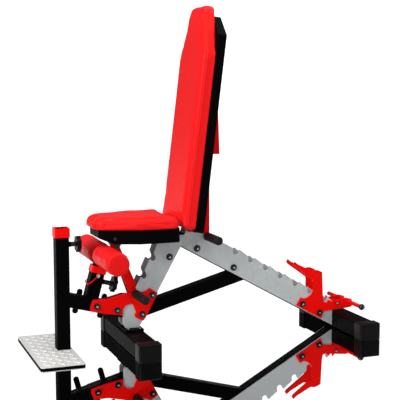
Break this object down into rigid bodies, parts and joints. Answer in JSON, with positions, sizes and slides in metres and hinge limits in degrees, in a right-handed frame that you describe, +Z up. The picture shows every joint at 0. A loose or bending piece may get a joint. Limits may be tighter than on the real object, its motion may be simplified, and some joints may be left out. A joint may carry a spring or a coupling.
{
  "type": "adjustable weight bench",
  "caption": "Adjustable weight bench with padded seat and reclining backrest on notched frame plates, foam leg rollers and a clamped accessory post on a tread plate.",
  "frame": {"origin": "centre of the whole footprint at floor level, with the bench at rest in its upright pose", "axes": "+X to the rear (the back of the backrest faces it), +Y to the sitter's left side seen facing the front, +Z up"},
  "size_m": [1.329, 0.55, 1.2798],
  "materials": {
    "red_vinyl": "satin",
    "black_shell": "matte",
    "black_paint": "satin",
    "red_paint": "gloss",
    "silver_paint": "satin",
    "zinc_steel": "satin",
    "black_steel": "satin",
    "grip_rubber": "matte",
    "tread": "satin",
    "black_plastic": "gloss"
  },
  "bodies": {
    "frame": {"front_crossbar": "black_paint", "rear_crossbar": "black_paint", "end_caps": "black_plastic", "leg_flange": "black_paint", "side_plate_near": "silver_paint", "side_plate_far": "silver_paint", "rear_core_tube": "black_paint", "leg_core_tube": "black_paint", "brace_tube": "black_paint", "arm_tube": "black_paint", "clamp_bosses": "black_paint", "tower_tube": "black_paint", "tower_collar": "red_paint", "t_bar_tube": "black_paint", "roller_axle": "black_steel", "gusset_near": "red_paint", "gusset_far": "red_paint", "rear_bracket_near": "red_paint", "rear_bracket_far": "red_paint", "frame_bolts": "black_steel", "frame_washers": "black_steel", "arm_spacers": "zinc_steel", "hinge_axles": "black_steel"},
    "foot_post": {"foot_plate": "black_paint", "foot_tread": "tread", "post_tube": "black_paint", "post_collar": "red_paint", "post_stub": "black_paint"},
    "post_knob": {"post_knob": "black_plastic", "post_knob_screw": "black_steel"},
    "bar_knob": {"bar_knob": "black_plastic", "bar_knob_screw": "black_steel"},
    "t_handle_front": {"t_handle_front": "black_plastic", "t_handle_front_screw": "zinc_steel"},
    "t_handle_rear": {"t_handle_rear": "black_plastic", "t_handle_rear_screw": "zinc_steel"},
    "lock_pin": {"lock_pin": "zinc_steel", "pin_bail": "red_paint"},
    "peg_rod": {"peg_rod": "red_paint", "peg_ball": "black_plastic"},
    "roller_near": {"roller_near": "red_vinyl", "roller_sleeve_near": "black_plastic"},
    "roller_far": {"roller_far": "red_vinyl", "roller_sleeve_far": "black_plastic"},
    "seat": {"seat_pad": "red_vinyl", "seat_base": "black_shell", "seat_brackets": "red_paint", "seat_fasteners": "black_steel"},
    "seat_strut": {"seat_strut": "red_paint", "seat_strut_rod": "black_steel", "seat_strut_grips": "grip_rubber"},
    "backrest": {"back_pad": "red_vinyl", "back_shell": "black_shell", "back_rails": "black_paint", "back_brackets": "red_paint", "back_pivot_pin": "zinc_steel"},
    "back_strut": {"back_strut": "red_paint", "back_strut_rod": "black_steel", "back_strut_grips": "grip_rubber"}
  },
  "joints": [
    {"name": "back_hinge", "type": "hinge", "parent": "frame", "child": "backrest", "pos_m": [-0.0445, 0, 0.44], "axis": [0, 1, 0], "range_deg": [0, 83]},
    {"name": "back_strut_hinge", "type": "hinge", "parent": "backrest", "child": "back_strut", "pos_m": [0.02945, 0, 0.75997], "axis": [0, 1, 0], "range_deg": [-146, 0]},
    {"name": "seat_hinge", "type": "hinge", "parent": "frame", "child": "seat", "pos_m": [-0.1055, 0, 0.431], "axis": [0, 1, 0], "range_deg": [0, 18]},
    {"name": "seat_strut_hinge", "type": "hinge", "parent": "seat", "child": "seat_strut", "pos_m": [-0.3335, 0, 0.385], "axis": [0, 1, 0], "range_deg": [-9.5, 0]},
    {"name": "foot_post_slide", "type": "slide", "parent": "frame", "child": "foot_post", "axis": [-0.9659, 0, 0.2588], "range_m": [0, 0.12]},
    {"name": "post_knob_turn", "type": "hinge", "parent": "foot_post", "child": "post_knob", "pos_m": [-0.5365, 0, 0.4], "axis": [1, 0, 0], "continuous": true},
    {"name": "bar_knob_turn", "type": "hinge", "parent": "frame", "child": "bar_knob", "pos_m": [-0.41038, 0, 0.25841], "axis": [0.9659, 0, -0.2588], "continuous": true},
    {"name": "t_handle_front_turn", "type": "hinge", "parent": "frame", "child": "t_handle_front", "pos_m": [-0.4645, 0.06, 0.17], "axis": [0, 1, 0], "continuous": true},
    {"name": "t_handle_rear_turn", "type": "hinge", "parent": "frame", "child": "t_handle_rear", "pos_m": [-0.3685, 0.06, 0.1443], "axis": [0, 1, 0], "continuous": true},
    {"name": "roller_near_spin", "type": "hinge", "parent": "frame", "child": "roller_near", "pos_m": [-0.3845, -0.13, 0.355], "axis": [0, 1, 0], "continuous": true},
    {"name": "roller_far_spin", "type": "hinge", "parent": "frame", "child": "roller_far", "pos_m": [-0.3845, 0.13, 0.355], "axis": [0, 1, 0], "continuous": true},
    {"name": "lock_pin_turn", "type": "hinge", "parent": "frame", "child": "lock_pin", "pos_m": [-0.40484, 0, 0.27908], "axis": [0, 1, 0], "range_deg": [0, 70]},
    {"name": "peg_rod_slide", "type": "slide", "parent": "frame", "child": "peg_rod", "axis": [0, -1, 0], "range_m": [0, 0.09]}
  ],
  "couplings": [
    {"joint": "back_strut_hinge", "follows": "back_hinge", "ratio": -1.75},
    {"joint": "seat_strut_hinge", "follows": "seat_hinge", "ratio": -0.5}
  ]
}
